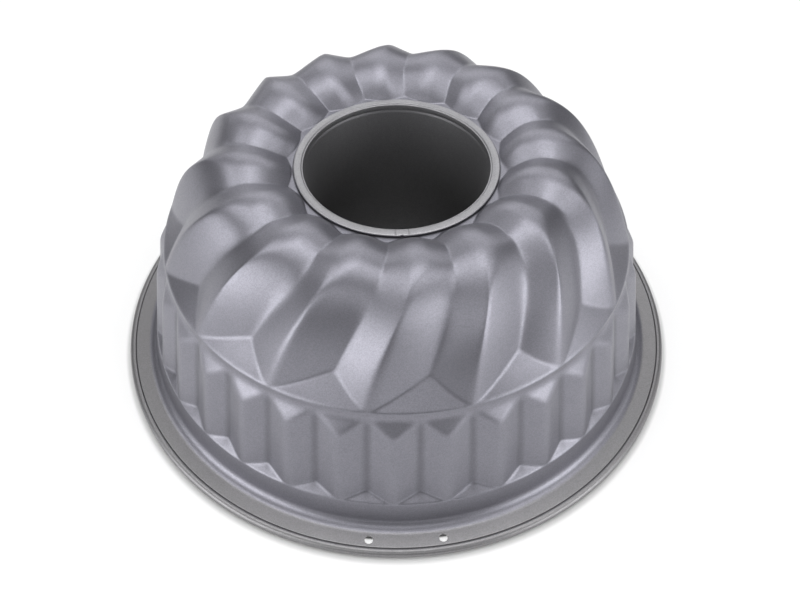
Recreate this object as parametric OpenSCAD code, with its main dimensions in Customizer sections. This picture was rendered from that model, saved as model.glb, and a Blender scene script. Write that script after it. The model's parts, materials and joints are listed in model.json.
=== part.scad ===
// Kugelhopf mould in sheet steel, standing upside down on its rolled rim.
// The origin is at the bottom centre, Z points up and the two hanging holes
// are at the front of the flange, on the -Y side.

/* [Rim and flange] */
// Outside diameter over the rolled rim
rim_d = 250; // [230:1:280]
// Outside diameter of the rolled bead
bead_d = 4; // [3.6:0.1:5]
// Width of the flat flange, from the fillet to the middle of the bead
flange_w = 6.5; // [6:0.5:10]
// Radius of the fillet between the wall and the flange
fillet_r = 4.8; // [3:0.1:7]
// Depth of the fine crease where the bead starts
crease_depth = 0.3; // [0.2:0.05:0.4]
// Thickness of the steel sheet
sheet_t = 0.8; // [0.6:0.05:0.9]

/* [Hanging holes] */
// Diameter of each hole
hole_d = 3.4; // [2.5:0.1:4]
// Distance between the two hole centres
hole_gap = 29.5; // [20:0.5:50]

/* [Lower wall] */
// Lean of the wall from the vertical, in degrees
wall_draft = 12; // [10:0.5:16]
// Height of the plain ring above the ground
ring_h = 16.3; // [14:0.1:20]
// How far the ribs stand out from the troughs between them
rib_depth = 3.2; // [2:0.1:4]
// Height over which the head of each rib slopes back to the step line
rib_head_h = 5.8; // [5:0.1:9]
// Height of the middle of the step line between ribs and flutes
step_z = 59.5; // [54:0.1:64]
// Height of the small upright band at the step line
step_h = 3.8; // [1.5:0.1:5]

/* [Flutes] */
// Number of flutes round the crown; there are two ribs to each flute
flute_count = 16; // [14:1:18]
// Height of the crests over the ground
crown_z = 102; // [96:0.5:108]
// Diameter of the circle on which the crests are highest
crown_d = 120.5; // [112:0.5:126]
// Depth of the flutes low down on the outside
flute_depth = 5.5; // [4:0.1:6.5]
// Depth of the flutes on top of the crown
crown_depth = 2.8; // [1.5:0.1:3.2]
// Sideways sweep of the flutes from the step line to the crown, in degrees
flute_sweep = 13.7; // [8:0.1:18]
// Turn of the troughs ahead of the crests half way up the outside, in degrees
trough_lead = 2; // [0:0.1:3]
// Turn of the first crest from the middle of the hanging holes, in degrees
flute_turn = -8.1; // [-11:0.1:11]

/* [Land and centre tube] */
// How far the flat land round the tube lies below the crests
land_drop = 9.4; // [7:0.1:12]
// Inside diameter of the tube at its neck
neck_d = 73.6; // [68:0.2:78]
// Inside diameter of the tube at its free end
free_d = 52; // [44:1:62]
// Height of the free end above the ground
free_z = 4; // [1:0.5:12]
// Width of the collar that lies on the land round the neck
collar_w = 3.8; // [3.4:0.1:4.4]
// Strip of land left bare between the collar and the crests
land_bare = 0.4; // [0.2:0.1:1]
// Gap under the lip of the collar
lip_gap = 0.35; // [0.2:0.05:0.5]
// How far the locking swage stands out under the land
swage_w = 1; // [0.7:0.05:1.3]
// Height of the locking swage
swage_h = 1.8; // [1.4:0.1:2.4]
// Clearance between the tube and the hole in the land
neck_clear = 0.2; // [0.1:0.05:0.3]
// Width of the lap seam along the tube
seam_w = 5; // [4:0.5:7]
// Turn of the seam from the middle of the hanging holes, in degrees
seam_turn = 1; // [-10:1:10]

/* [Preview] */
// Piece to draw

/* [Hidden] */
$fn = 96;
shell_color = [0.42, 0.42, 0.45];
tube_color = [0.45, 0.45, 0.47];

// Rim and flange
bead_r = bead_d / 2;
bead_mid_r = bead_r - sheet_t / 2;
bead_ring_r = rim_d / 2 - bead_r;
// The bead stands a little proud of the flange
bead_proud = 0.2;
flange_z = bead_d - bead_proud;
flange_mid_z = flange_z - sheet_t / 2;
flange_in_r = bead_ring_r - flange_w;
// Where the crease starts and where it is deepest, inward from the bead's ring
crease_start = 1.35;
crease_bottom = 0.95;
// The curl stops short of closing on itself
curl_start = 100;
curl_end = -190;
curl_steps = 22;
fillet_steps = 9;
// The holes sit a little inside the middle of the flange
hole_inward = 0.8;
hole_ring_r = bead_ring_r - flange_w / 2 - hole_inward;
hole_front = sqrt(pow(hole_ring_r, 2) - pow(hole_gap / 2, 2));

// Lower wall
fillet_run = fillet_r * tan((90 - wall_draft) / 2);
wall_foot_r = flange_in_r - fillet_run;
step_low = step_z - step_h / 2;
step_top = step_z + step_h / 2;
step_r = wall_r(step_z) - rib_depth;
// The ribs start just above the plain ring
rib_start = 0.3;
rib_foot = ring_h + rib_start;
// The fluted wall is let into the plain ring over this height, and is a
// little thinner there
foot_let_in = 1.2;
foot_inset = 0.1;

// Crown
crown_r = crown_d / 2;
land_z = crown_z - land_drop;
neck_r = neck_d / 2;
collar_r = neck_r + collar_w;
land_r = collar_r + land_bare;
crest_run = step_r - crown_r;
crest_rise = crown_z - step_top;
crest_out = [
    [step_r, step_top],
    [step_r - 0.17 * crest_run, step_top + 0.35 * crest_rise],
    [crown_r + 0.597 * crest_run, crown_z],
    [crown_r, crown_z]
];
crest_in = [
    [crown_r, crown_z],
    [crown_r - 0.46 * (crown_r - land_r), crown_z],
    [land_r + 0.2 * (crown_r - land_r), land_z + 0.55 * (crown_z - land_z)],
    [land_r, land_z]
];
// Share of the outer crest taken up by the slanted facet under each flute
facet_share = 0.225;
// Rounding of the crests as a share of half a flute
crest_soft = 0.16;
// How much rounder the lobes get near the land
lobe_round = 0.3;
// Radii between which the flutes change from the wall to the crown
blend_in_r = crown_r;
blend_out_r = crown_r + 0.87 * crest_run;
// The sweep is complete just inside the circle of the crests. It gains on a
// straight line at first and eases off near the end.
sweep_end_r = 0.956 * crown_r;
sweep_first = 0.93;
sweep_gain = 0.75;
sweep_ease = 1 - sweep_first - sweep_gain;

// Land and tube
hole_in_land_r = neck_r + sheet_t + neck_clear;
free_r = free_d / 2;
collar_z = land_z + lip_gap + sheet_t;
collar_inner_round = 1.3;
lip_round = 0.3;
// Flat ring on which the collar sits, and the slope up to its lip
seat_w = 0.9;
lip_slope = 0.6;
// The swage leaves the sheet this much thinner
swage_thin = 0.1;
swage_slope = 0.3;
tube_lean = atan((neck_r - free_r) / (land_z - sheet_t - swage_h - free_z));

// Mesh of the fluted wall: eight columns to a flute, so that every crest,
// trough and rib lies on a column
cols = flute_count * 8;
lower_rows = [
    ring_h - foot_let_in,
    rib_foot,
    rib_foot + rib_depth / 2,
    rib_foot + rib_depth,
    step_low - rib_head_h,
    step_low - rib_head_h / 2,
    step_low
];
upper_rows = [
    0, 0.05, 0.11, 0.17, 0.225,
    0.32, 0.43, 0.54, 0.66, 0.77, 0.88, 1,
    1.3, 1.58, 1.82, 2
];

// Radius of the plain wall at a height
function wall_r(z) = wall_foot_r - tan(wall_draft) * (z - flange_z);

function ease(x) = let (u = max(0, min(1, x))) u * u * (3 - 2 * u);

function bezier(p, t) =
    pow(1 - t, 3) * p[0]
    + 3 * t * pow(1 - t, 2) * p[1]
    + 3 * t * t * (1 - t) * p[2]
    + t * t * t * p[3];

function bezier_slope(p, t) =
    pow(1 - t, 2) * (p[1] - p[0])
    + 2 * t * (1 - t) * (p[2] - p[1])
    + t * t * (p[3] - p[2]);

function unit(v) = v / norm(v);

// Crest line from the step (0) over the crown (1) to the land (2)
function crest(w) = w <= 1 ? bezier(crest_out, w) : bezier(crest_in, w - 1);
function crest_slope(w) = w <= 1 ? bezier_slope(crest_out, w) : bezier_slope(crest_in, w - 1);
function crest_normal(w) = let (s = unit(crest_slope(w))) [s[1], -s[0]];

// Sideways sweep at a radius, easing off towards the crown
function sweep(r) =
    let (x = (step_r - r) / (step_r - sweep_end_r))
    flute_sweep * x * (sweep_first + sweep_gain * x + sweep_ease * x * x);

// Distance across half a flute (0 at the crest, 1 in the trough)
function across(col) = let (m = (col % 8) / 4) m > 1 ? 2 - m : m;

// Extra turn towards the trough, none at the step line and on the crown
function trough_turn(r, x) =
    let (u = max(0, min(1, (step_r - r) / crest_run)))
    trough_lead * 4 * u * (1 - u) * x;

// Depth profile across half a flute
function flute_shape(x, blend) =
    let (p = 1 + lobe_round * (1 - blend))
    (pow(x * x + crest_soft * crest_soft, p / 2) - pow(crest_soft, p))
    / (pow(1 + crest_soft * crest_soft, p / 2) - pow(crest_soft, p));

function upper_depth(w, x) =
    let (
        blend = ease((crest(w)[0] - blend_in_r) / (blend_out_r - blend_in_r)),
        full = crown_depth + (flute_depth - crown_depth) * blend,
        facet = w <= 1 ? flute_depth * w / facet_share : flute_depth
    )
    min(full * flute_shape(x, blend), facet);

function polar(r, a, z) = [r * cos(a), r * sin(a), z];

function column_angle(col) = -90 + flute_turn + 360 * col / cols;

// A point of the crown, on the outside (inset 0) or the inside of the sheet
function upper_point(w, col, inset) =
    let (
        x = across(col),
        q = crest(w) - crest_normal(w) * (upper_depth(w, x) + inset),
        a = column_angle(col) + sweep(crest(w)[0]) + trough_turn(crest(w)[0], x),
        floor_z = w > 1 ? land_z - inset : 0
    )
    polar(q[0], a, max(q[1], floor_z));

// Ribs stand half way between the troughs under crests and flutes
function rib_across(col) = abs(1 - ((col % 4) / 2));

function lower_depth(z, x) =
    max(
        min(rib_depth * x, z - rib_foot),
        rib_depth * (1 - (step_low - z) / rib_head_h)
    );

function lower_point(z, col, inset) =
    let (
        hidden = z <= rib_foot ? foot_inset : 0,
        r = wall_r(z) - max(0, lower_depth(z, rib_across(col)))
    )
    polar(inset > 0 ? r - inset + hidden : r - hidden, column_angle(col), z);

function land_point(col, inset) =
    polar(hole_in_land_r, column_angle(col) + sweep(land_r), land_z - inset);

function skin(inset) = [
    for (z = lower_rows) for (c = [0 : cols - 1]) lower_point(z, c, inset),
    for (w = upper_rows) for (c = [0 : cols - 1]) upper_point(w, c, inset),
    for (c = [0 : cols - 1]) land_point(c, inset)
];

row_count = len(lower_rows) + len(upper_rows) + 1;
skin_size = row_count * cols;

function at(row, col) = row * cols + (col % cols);

// The edges of the facets mirror about each trough, so the diagonals do too
function rises(row, col) =
    let (
        low = row < len(lower_rows),
        span = low ? 4 : 8,
        half = (col % span) < span / 2
    )
    low ? !half : half;

function quad(row, col, base, flip) =
    let (
        a = base + at(row, col),
        b = base + at(row, col + 1),
        c = base + at(row + 1, col + 1),
        d = base + at(row + 1, col),
        pair = rises(row, col) ? [[a, c, b], [a, d, c]] : [[a, d, b], [b, d, c]]
    )
    flip ? [for (t = pair) [t[0], t[2], t[1]]] : pair;

function edge_strip(row, flip) = [
    for (c = [0 : cols - 1])
        let (
            a = at(row, c),
            b = at(row, c + 1),
            pair = [[a, b, b + skin_size], [a, b + skin_size, a + skin_size]]
        )
        for (t = pair) flip ? [t[0], t[2], t[1]] : t
];

module fluted_wall() {
    polyhedron(
        points = concat(skin(0), skin(sheet_t)),
        faces = concat(
            [for (r = [0 : row_count - 2]) for (c = [0 : cols - 1])
                for (t = quad(r, c, 0, false)) t],
            [for (r = [0 : row_count - 2]) for (c = [0 : cols - 1])
                for (t = quad(r, c, skin_size, true)) t],
            edge_strip(0, false),
            edge_strip(row_count - 1, true)
        ),
        convexity = 12
    );
}

function arc(x, z, r, from, to, steps) = [
    for (i = [0 : steps])
        let (a = from + (to - from) * i / steps)
        [x + r * cos(a), z + r * sin(a)]
];

// Normal to a line of points, averaged at each point
function line_normal(p, i) =
    let (
        before = unit(p[max(i, 1)] - p[max(i, 1) - 1]),
        after = unit(p[min(i, len(p) - 2) + 1] - p[min(i, len(p) - 2)]),
        mid = unit(before + after),
        stretch = 1 / max(0.5, mid * before)
    )
    [-mid[1], mid[0]] * stretch;

// Outline of a strip of sheet along a line of points
function sheet_outline(p, t) = concat(
    [for (i = [0 : len(p) - 1]) p[i] + line_normal(p, i) * t / 2],
    [for (i = [len(p) - 1 : -1 : 0]) p[i] - line_normal(p, i) * t / 2]
);

// Middle line of the plain ring, fillet, flange and rolled bead
function rim_line() =
    let (
        mid_r = fillet_r + sheet_t / 2,
        top_r = wall_r(ring_h) - sheet_t / 2 / cos(wall_draft)
    )
    concat(
        [[top_r, ring_h]],
        arc(flange_in_r, flange_mid_z + mid_r, mid_r, 180 + wall_draft, 270, fillet_steps),
        [
            [bead_ring_r - crease_start, flange_mid_z],
            [bead_ring_r - crease_bottom, flange_mid_z - crease_depth]
        ],
        arc(bead_ring_r, bead_r, bead_mid_r, curl_start, curl_end, curl_steps)
    );

module rim() {
    rotate_extrude()
        polygon(sheet_outline(rim_line(), sheet_t));
}

module hanging_holes() {
    for (side = [-1, 1])
        translate([side * hole_gap / 2, -hole_front, -1])
            cylinder(d = hole_d, h = bead_d + 2, $fn = 48);
}

module fluted_shell() {
    color(shell_color)
        union() {
            difference() {
                rim();
                hanging_holes();
            }
            fluted_wall();
        }
}

// Outline of the tube wall, locking swage, neck and collar
function tube_outline() =
    let (
        outer = neck_r + sheet_t,
        under = land_z - sheet_t,
        lean = sheet_t / cos(tube_lean),
        round_z = collar_z - collar_inner_round
    )
    concat(
        [
            [free_r + lean, free_z],
            [outer, under - swage_h],
            [outer + swage_w, under - swage_h / 2],
            [outer + swage_w, under],
            [outer, under],
            [outer, land_z],
            [outer + seat_w, land_z],
            [outer + seat_w + lip_slope, land_z + lip_gap]
        ],
        arc(collar_r - lip_round, land_z + lip_gap + lip_round, lip_round, -90, 0, 3),
        arc(collar_r - lip_round, collar_z - lip_round, lip_round, 0, 90, 3),
        arc(neck_r + collar_inner_round, round_z, collar_inner_round, 90, 180, 6),
        [
            [neck_r, under],
            [neck_r + swage_w - swage_thin, under - swage_slope],
            [neck_r + swage_w - swage_thin, under - swage_h / 2],
            [neck_r, under - swage_h],
            [free_r, free_z]
        ]
    );

module tube_body() {
    rotate_extrude()
        polygon(tube_outline());
}

// Flat lap seam standing inside the tube, short of both its ends
module lap_seam() {
    proud = 0.6;
    let_in = 0.35;
    end_gap = 0.8;
    slant = (land_z - sheet_t - swage_h - free_z) / cos(tube_lean);
    rotate([0, 0, -90 + seam_turn])
        translate([free_r, 0, free_z])
            rotate([0, tube_lean, 0])
                translate([-proud, -seam_w / 2, end_gap])
                    cube([proud + let_in, seam_w, slant - 2 * end_gap]);
}

// Small nick in the collar where the two edges of the seam meet
module seam_nick() {
    nick_w = 1.2;
    nick_depth = 0.35;
    over = 1;
    rotate([0, 0, -90 + seam_turn])
        translate([collar_r - nick_depth, -nick_w / 2, land_z - over])
            cube([nick_depth + over, nick_w, collar_z - land_z + 2 * over]);
}

module centre_tube() {
    color(tube_color)
        difference() {
            union() {
                tube_body();
                lap_seam();
            }
            seam_nick();
        }
}

fluted_shell();
centre_tube();
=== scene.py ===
"""Kugelhopf mould in coated sheet steel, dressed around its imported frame.

The mould stands upside down on its rolled rim. Z is up, the hanging holes
are at the front on the -Y side, and every length is in metres.
"""

import json
import math

import bpy
import numpy as np
from bpy.props import FloatProperty, FloatVectorProperty, IntProperty, PointerProperty
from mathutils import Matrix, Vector


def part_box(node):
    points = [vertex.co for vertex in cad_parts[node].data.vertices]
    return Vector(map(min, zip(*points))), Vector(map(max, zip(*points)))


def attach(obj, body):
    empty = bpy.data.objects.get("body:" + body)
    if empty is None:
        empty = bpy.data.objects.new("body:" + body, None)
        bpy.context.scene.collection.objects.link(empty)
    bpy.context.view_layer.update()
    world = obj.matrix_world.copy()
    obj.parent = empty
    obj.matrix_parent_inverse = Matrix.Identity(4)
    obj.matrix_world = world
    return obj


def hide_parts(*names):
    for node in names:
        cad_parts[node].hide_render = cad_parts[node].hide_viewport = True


bl_info = {
    "name": "Kugelhopf Mould",
    "version": (1, 0, 0),
    "blender": (4, 5, 0),
    "location": "View3D > Sidebar > Mould",
    "description": "Makes a swirled ring mould in coated sheet steel with its studio stage",
    "category": "Object",
}

MM = 0.001
FRONT = math.radians(-90)

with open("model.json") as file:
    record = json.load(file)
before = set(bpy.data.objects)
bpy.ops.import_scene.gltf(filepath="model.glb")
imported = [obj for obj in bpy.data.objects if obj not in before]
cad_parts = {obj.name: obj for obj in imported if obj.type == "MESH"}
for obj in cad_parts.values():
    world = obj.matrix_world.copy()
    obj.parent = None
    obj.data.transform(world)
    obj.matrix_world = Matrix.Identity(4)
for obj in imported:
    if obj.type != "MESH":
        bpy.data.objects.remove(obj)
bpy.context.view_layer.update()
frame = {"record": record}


def from_frame(node, corner, axis):
    """Coordinate of a node's box, rounded to a tenth of a millimetre to even out its facets."""
    return round(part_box(node)[corner][axis], 4)


RIM_RADIUS = from_frame("fluted_shell", 1, 0)
CROWN_HEIGHT = from_frame("fluted_shell", 1, 2)
FREE_HEIGHT = from_frame("centre_tube", 0, 2)

# Hanging holes: their radius, the ring that they lie on and their turn from the front
HOLES = next(m for m in frame["record"]["mounts"] if m["name"] == "hang_holes")
HALF_GAP = HOLES["dims"]["spacing_x_mm"] * MM / 2
HOLE_RADIUS = HOLES["dims"]["hole_r_mm"] * MM
HOLE_RING = math.hypot(HOLES["pos_m"][1], HALF_GAP)
HOLE_TURN = math.atan2(HALF_GAP, -HOLES["pos_m"][1])

# How far the deepest line of the pressed crease lies inside the bead's middle
CREASE_IN = 0.95 * MM


# Sizes and colours that a user would change


def length(name, description, default, low, high):
    return FloatProperty(
        name=name, description=description, default=default,
        min=low, max=high, unit="LENGTH", precision=5,
    )


def angle(name, description, degrees, low, high):
    return FloatProperty(
        name=name, description=description, default=math.radians(degrees),
        min=math.radians(low), max=math.radians(high), subtype="ANGLE",
    )


def share(name, description, default):
    return FloatProperty(
        name=name, description=description, default=default, min=0.0, max=1.0, subtype="FACTOR",
    )


def colour(name, description, default):
    return FloatVectorProperty(
        name=name, description=description, default=default,
        size=3, min=0.0, max=1.0, subtype="COLOR",
    )


class MouldShellSizes(bpy.types.PropertyGroup):
    """Sizes of the drawn and fluted sheet"""

    rim_radius: length("Rim radius", "Radius over the rolled bead", RIM_RADIUS, 0.1, 0.15)
    bead_radius: length("Bead radius", "Radius of the bead's section", 2 * MM, 1.5 * MM, 3 * MM)
    flange_width: length("Flange width", "From fillet to bead's middle", 6.5 * MM, 5 * MM, 12 * MM)
    fillet_radius: length("Fillet radius", "Round above the flange", 4.8 * MM, 2 * MM, 8 * MM)
    sheet: length("Sheet thickness", "Thickness of the steel", 0.8 * MM, 0.4 * MM, 1.2 * MM)
    ring_height: length("Ring height", "Top of the plain ring", 16.3 * MM, 12 * MM, 22 * MM)
    rib_depth: length("Rib depth", "How far the ribs stand out", 3.2 * MM, 1 * MM, 5 * MM)
    rib_head: length("Rib head", "Height of a rib's sloped head", 5.8 * MM, 3 * MM, 10 * MM)
    step_height: length("Step height", "Middle of the step line", 59.5 * MM, 50 * MM, 66 * MM)
    step_band: length("Step band", "Height of the upright band", 3.8 * MM, 1 * MM, 5 * MM)
    crown_height: length("Crown height", "Height of the crests", CROWN_HEIGHT, 90 * MM, 110 * MM)
    crown_radius: length("Crown radius", "Where the crests are highest", 60.25 * MM, 50 * MM, 70 * MM)
    flute_depth: length("Flute depth", "Depth low on the outside", 5.5 * MM, 2 * MM, 8 * MM)
    crown_depth: length("Crown flute depth", "Depth on the crown", 2.8 * MM, 1 * MM, 4 * MM)
    land_height: length("Land height", "Flat land round the tube", 92.6 * MM, 85 * MM, 96 * MM)
    land_radius: length("Land radius", "Where the crests meet the land", 41 * MM, 38 * MM, 46 * MM)
    draft: angle("Wall lean", "Lean of the lower wall from the vertical", 12, 0, 30)
    sweep: angle("Flute sweep", "Sideways sweep of the flutes up to the crown", 13.7, 0, 35)
    trough_lead: angle("Trough lead", "How far troughs run ahead of crests half way up", 2, -6, 6)
    turn: angle("First crest", "Turn of the first crest from the front", -8.1, -11, 11)
    flutes: IntProperty(name="Flutes", description="Flutes round the crown", default=16, min=8, max=24)


class MouldTubeSizes(bpy.types.PropertyGroup):
    """Sizes of the rolled centre tube"""

    neck_radius: length("Neck radius", "Inside radius at the neck", 36.8 * MM, 30 * MM, 40 * MM)
    free_radius: length("Free end radius", "Inside radius low down", 26 * MM, 20 * MM, 34 * MM)
    free_height: length("Free end height", "Free end over the ground", FREE_HEIGHT, 0.0, 14 * MM)
    collar_radius: length("Collar radius", "Outside of the collar", 40.6 * MM, 38 * MM, 44 * MM)
    lip_gap: length("Lip gap", "Gap under the collar's lip", 0.35 * MM, 0.1 * MM, 0.8 * MM)
    swage: length("Swage", "How far the locking swage stands out", 1 * MM, 0.4 * MM, 2 * MM)
    swage_height: length("Swage height", "Height of the swage", 1.8 * MM, 1 * MM, 3 * MM)
    seam_width: length("Seam width", "Width of the lap seam", 5 * MM, 3 * MM, 8 * MM)
    seam_turn: angle("Seam turn", "Turn of the seam from the front", 1, -18, 18)


class MouldCoating(bpy.types.PropertyGroup):
    """Colours and gloss of the non-stick coating"""

    shell_colour: colour("Shell", "Coating on the fluted shell", (0.239, 0.237, 0.27))
    flange_colour: colour("Flange", "Coating on the flange and bead", (0.243, 0.239, 0.246))
    tube_colour: colour("Tube", "Coating on the tube's collar", (0.29, 0.288, 0.3))
    # Painted shade: the colour that the tube's inside darkens to far down
    deep_shade_colour: colour("Tube inside", "Coating far down the tube", (0.21, 0.208, 0.212))
    roughness: share("Roughness", "Roughness of the satin coating", 0.41)
    metal_share: share("Metal share", "Share of the light that the metal flakes throw back", 0.85)
    grain: share("Grain", "Contrast of the metal flakes", 0.2)


class MouldStage(bpy.types.PropertyGroup):
    """Floor, lamps and camera"""

    floor_colour: colour("Floor", "Colour of the pale floor", (0.66, 0.66, 0.66))
    camera_place: FloatVectorProperty(
        name="Camera place", description="Where the camera stands", size=3,
        default=(-9.25 * MM, -266.41 * MM, 316.78 * MM), subtype="XYZ", unit="LENGTH", precision=5,
    )
    camera_tilt: angle("Camera tilt", "How far the camera looks down", 52.897, 0, 90)
    camera_turn: angle("Camera turn", "Turn of the view from straight ahead", -1.83, -180, 180)
    camera_lens: FloatProperty(
        name="Lens", description="Focal length on a sensor 36 mm wide",
        default=38.703, min=10, max=200, unit="CAMERA",
    )
    camera_shift: FloatVectorProperty(
        name="Lens shift", description="Shift of the picture, right and up, as shares of its width",
        size=2, default=(0.0066, 0.0755), min=-0.5, max=0.5,
    )


# Curves and soft corners


def soft_min(a, b, k):
    """Smaller of two values, with the corner rounded over k."""
    h = np.clip(0.5 + 0.5 * (b - a) / k, 0.0, 1.0)
    return b + (a - b) * h - k * h * (1 - h)


def soft_max(a, b, k):
    """Larger of two values, with the corner rounded over k."""
    return -soft_min(-a, -b, k)


def ease(x):
    """Smooth rise from 0 to 1."""
    u = np.clip(x, 0.0, 1.0)
    return u * u * (3 - 2 * u)


def round_wave(x, start, end):
    """Straight rise from 0 to 1 that sets off softly over start and levels off softly over end."""
    rise = (np.sqrt(x * x + start**2) - start) / (np.sqrt(1 + start**2) - start)
    level = np.sqrt(1 + end**2) - end
    return 1 - (np.sqrt((1 - rise) ** 2 + end**2) - end) / level


def bezier(p, t):
    """Points on a cubic curve."""
    p = np.asarray(p)
    t = np.asarray(t)[:, None]
    return (1 - t) ** 3 * p[0] + 3 * t * (1 - t) ** 2 * p[1] + 3 * t * t * (1 - t) * p[2] + t**3 * p[3]


def bezier_slope(p, t):
    """Direction of a cubic curve, not brought to length 1."""
    p = np.asarray(p)
    t = np.asarray(t)[:, None]
    return (1 - t) ** 2 * (p[1] - p[0]) + 2 * t * (1 - t) * (p[2] - p[1]) + t * t * (p[3] - p[2])


def stops(marks, counts):
    """Values through the marks, with that many from each mark to the next, both included."""
    parts = [np.linspace(a, b, count) for a, b, count in zip(marks, marks[1:], counts)]
    return np.concatenate([parts[0]] + [part[1:] for part in parts[1:]])


def round_corners(corners, steps=6):
    """Line through corners given as across, up and round, each inner one turned into a curve."""
    points = [np.array(corner[:2], float) for corner in corners]
    line = [points[0]]
    for before, corner, after, (_, _, size) in zip(points, points[1:], points[2:], corners[1:]):
        a, b = before - corner, after - corner
        reach = min(size, 0.45 * np.linalg.norm(a), 0.45 * np.linalg.norm(b))
        a = corner + a / np.linalg.norm(a) * reach
        b = corner + b / np.linalg.norm(b) * reach
        for t in np.linspace(0, 1, steps):
            line.append((1 - t) ** 2 * a + 2 * t * (1 - t) * corner + t * t * b)
    line.append(points[-1])
    return np.array(line)


def fill_long(line, longest):
    """Closed line with its long stretches divided, its last point left out as it meets the first."""
    points = [line[0]]
    for a, b in zip(line, line[1:]):
        gap = np.linalg.norm(b - a)
        if gap < 1e-7:
            continue
        steps = max(1, int(math.ceil(gap / longest)))
        for i in range(1, steps + 1):
            points.append(a + (b - a) * i / steps)
    return np.array(points[:-1])


def arc(cx, cz, radius, start, end, steps):
    """Points on a circle, from one angle to another in degrees."""
    a = np.radians(np.linspace(start, end, steps + 1))
    return np.column_stack([cx + radius * np.cos(a), cz + radius * np.sin(a)])


def offset_line(line, distance):
    """Line moved sideways to its left, with the corner points kept at the right distance."""
    step = np.diff(line, axis=0)
    step /= np.linalg.norm(step, axis=1)[:, None]
    before = np.vstack([step[:1], step])
    after = np.vstack([step, step[-1:]])
    mid = before + after
    mid /= np.linalg.norm(mid, axis=1)[:, None]
    stretch = 1 / np.maximum(0.5, np.sum(mid * before, axis=1))
    return line + np.column_stack([-mid[:, 1], mid[:, 0]]) * (distance * stretch)[:, None]


# Meshes


def mesh_object(name, points, quads):
    """Smooth-shaded object from points and four-sided faces."""
    mesh = bpy.data.meshes.new(name)
    mesh.vertices.add(len(points))
    mesh.vertices.foreach_set("co", np.asarray(points, np.float32).ravel())
    quads = np.asarray(quads, np.int32)
    mesh.loops.add(quads.size)
    mesh.loops.foreach_set("vertex_index", quads.ravel())
    mesh.polygons.add(len(quads))
    mesh.polygons.foreach_set("loop_start", np.arange(len(quads), dtype=np.int32) * 4)
    mesh.polygons.foreach_set("use_smooth", np.ones(len(quads), bool))
    mesh.update(calc_edges=True)
    if mesh.validate():
        raise RuntimeError(f"{name}: the mesh had faulty faces")
    piece = bpy.data.objects.new(name, mesh)
    bpy.context.scene.collection.objects.link(piece)
    return piece


def wrap_quads(rows, cols):
    """Faces of a grid whose rows and columns both close on themselves."""
    r, c = np.meshgrid(np.arange(rows), np.arange(cols), indexing="ij")
    r2, c2 = (r + 1) % rows, (c + 1) % cols
    return np.stack([r * cols + c, r2 * cols + c, r2 * cols + c2, r * cols + c2], axis=-1)


def turned(r, z, a):
    """Points at radii, heights and turns about the axis, spread over each other's shapes."""
    r, z, a = np.broadcast_arrays(r, z, a)
    return np.stack([r * np.cos(a), r * np.sin(a), z], axis=-1)


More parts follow.
